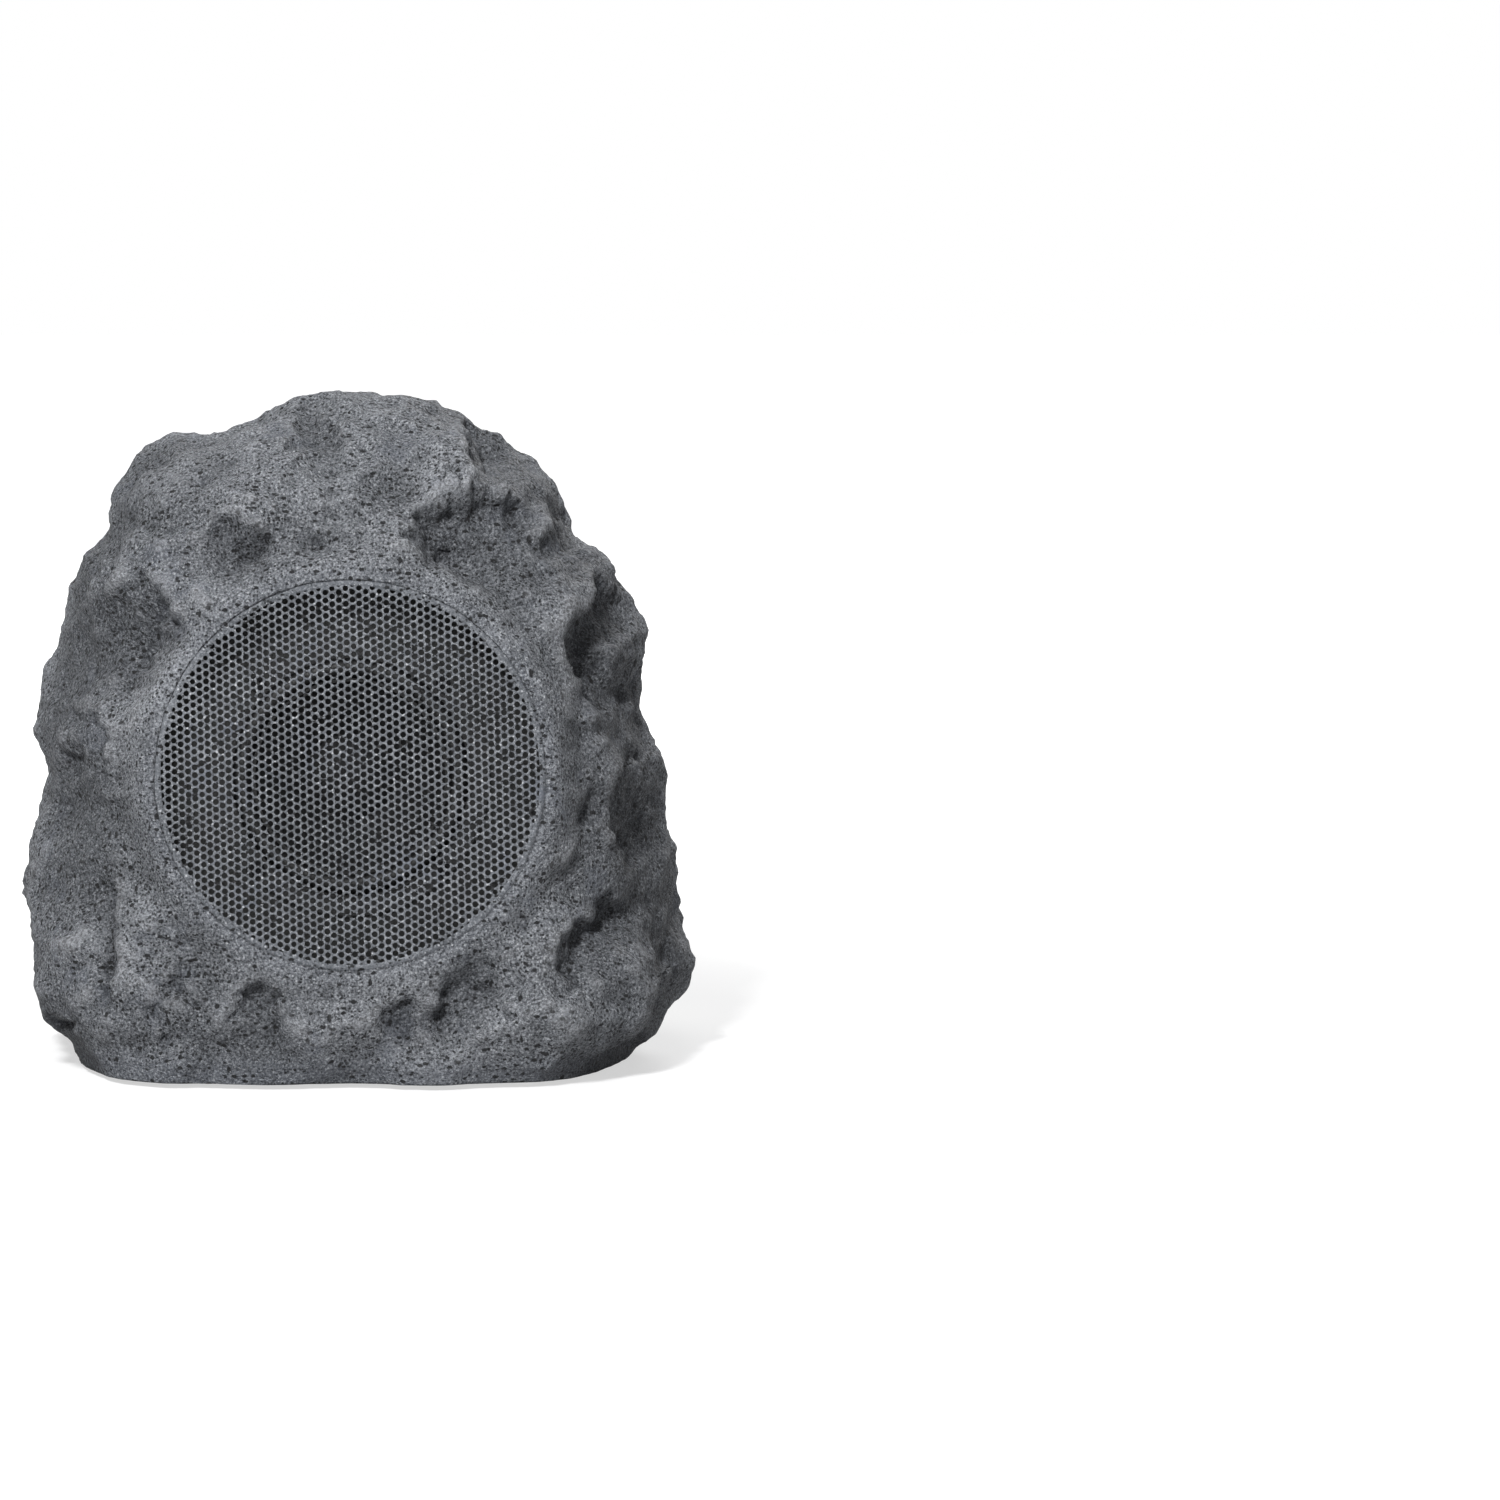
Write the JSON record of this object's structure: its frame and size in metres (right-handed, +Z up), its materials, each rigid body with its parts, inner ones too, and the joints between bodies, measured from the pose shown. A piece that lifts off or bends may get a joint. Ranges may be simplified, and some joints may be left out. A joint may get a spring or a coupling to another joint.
{
  "type": "portable wireless speaker",
  "caption": "Outdoor wireless speaker in a moulded stone-look housing, with a round perforated front grille, a cone driver and a recessed rear control panel.",
  "frame": {"origin": "on the ground, under the middle of the stone, at the bottom of the rubber feet", "axes": "+Z up, -Y out of the front towards the listener, +X to the right when facing the grille"},
  "size_m": [0.2627, 0.2093, 0.263],
  "materials": {
    "moulded_stone": "matt, flecked paint over a moulded stone texture",
    "painted_steel": "matt, flecked paint",
    "black_abs": "fine satin",
    "foam_rubber": "matt",
    "pressed_steel": "black, satin",
    "butyl_rubber": "satin",
    "coated_paper": "matt",
    "copper_wire": "enamelled",
    "treated_cloth": "matt",
    "plated_steel": "bright",
    "ferrite": "matt",
    "phenolic_board": "satin",
    "zinc_screws": "bright",
    "circuit_board": "glossy",
    "black_nylon": "satin",
    "clear_lens": "clear",
    "nickel_pin": "bright",
    "ivory_nylon": "satin",
    "chip_epoxy": "matt",
    "anodised_aluminium": "satin",
    "tinned_shield": "bright",
    "capacitor_sleeve": "glossy",
    "cell_wrap": "glossy",
    "red_sleeve": "satin",
    "black_sleeve": "satin",
    "grey_sleeve": "satin",
    "foot_rubber": "matt",
    "button_rubber": "satin"
  },
  "bodies": {
    "housing": {"stone_shell": "moulded_stone", "grille": "painted_steel", "baffle": "black_abs", "driver_gasket": "foam_rubber", "driver_frame": "pressed_steel", "surround": "butyl_rubber", "spider": "treated_cloth", "top_plate": "plated_steel", "magnet": "ferrite", "back_plate": "plated_steel", "terminal_tag": "phenolic_board", "driver_screws": "zinc_screws", "base_plate": "black_abs", "base_screws": "zinc_screws", "foot_front_left": "foot_rubber", "foot_front_right": "foot_rubber", "foot_back_left": "foot_rubber", "foot_back_right": "foot_rubber", "control_panel": "black_abs", "panel_gasket": "foam_rubber", "panel_screws": "zinc_screws", "button_board": "circuit_board", "switch_bodies": "black_nylon", "status_light": "clear_lens", "charging_socket": "black_nylon", "socket_pin": "nickel_pin", "panel_lead_socket": "ivory_nylon", "main_board": "circuit_board", "board_screws": "zinc_screws", "amplifier_chip": "chip_epoxy", "heat_sink": "anodised_aluminium", "wireless_module": "tinned_shield", "capacitors": "capacitor_sleeve", "lead_sockets": "ivory_nylon", "battery_tray": "black_abs", "battery_cell_1": "cell_wrap", "battery_cell_2": "cell_wrap", "driver_lead": "red_sleeve", "battery_lead": "black_sleeve", "panel_lead": "grey_sleeve"},
    "driver_cone": {"cone": "coated_paper", "dust_cap": "coated_paper", "voice_coil": "copper_wire"},
    "power_key": {"power_button": "button_rubber", "power_plunger": "ivory_nylon"},
    "link_key": {"link_button": "button_rubber", "link_plunger": "ivory_nylon"},
    "volume_down_key": {"volume_down_button": "button_rubber", "volume_down_plunger": "ivory_nylon"},
    "volume_up_key": {"volume_up_button": "button_rubber", "volume_up_plunger": "ivory_nylon"}
  },
  "joints": [
    {"name": "cone_travel", "type": "slide", "parent": "housing", "child": "driver_cone", "axis": [0, -0.9903, 0.1392], "range_m": [-0.0025, 0.0025], "stiffness_N_per_m": 1400, "deforming": ["surround", "spider"]},
    {"name": "power_press", "type": "slide", "parent": "housing", "child": "power_key", "axis": [0, -0.9945, -0.1045], "range_m": [0, 0.0006], "stiffness_N_per_m": 1500, "springref_m": -0.0002},
    {"name": "link_press", "type": "slide", "parent": "housing", "child": "link_key", "axis": [0, -0.9945, -0.1045], "range_m": [0, 0.0006], "stiffness_N_per_m": 1500, "springref_m": -0.0002},
    {"name": "volume_down_press", "type": "slide", "parent": "housing", "child": "volume_down_key", "axis": [0, -0.9945, -0.1045], "range_m": [0, 0.0006], "stiffness_N_per_m": 1500, "springref_m": -0.0002},
    {"name": "volume_up_press", "type": "slide", "parent": "housing", "child": "volume_up_key", "axis": [0, -0.9945, -0.1045], "range_m": [0, 0.0006], "stiffness_N_per_m": 1500, "springref_m": -0.0002}
  ]
}
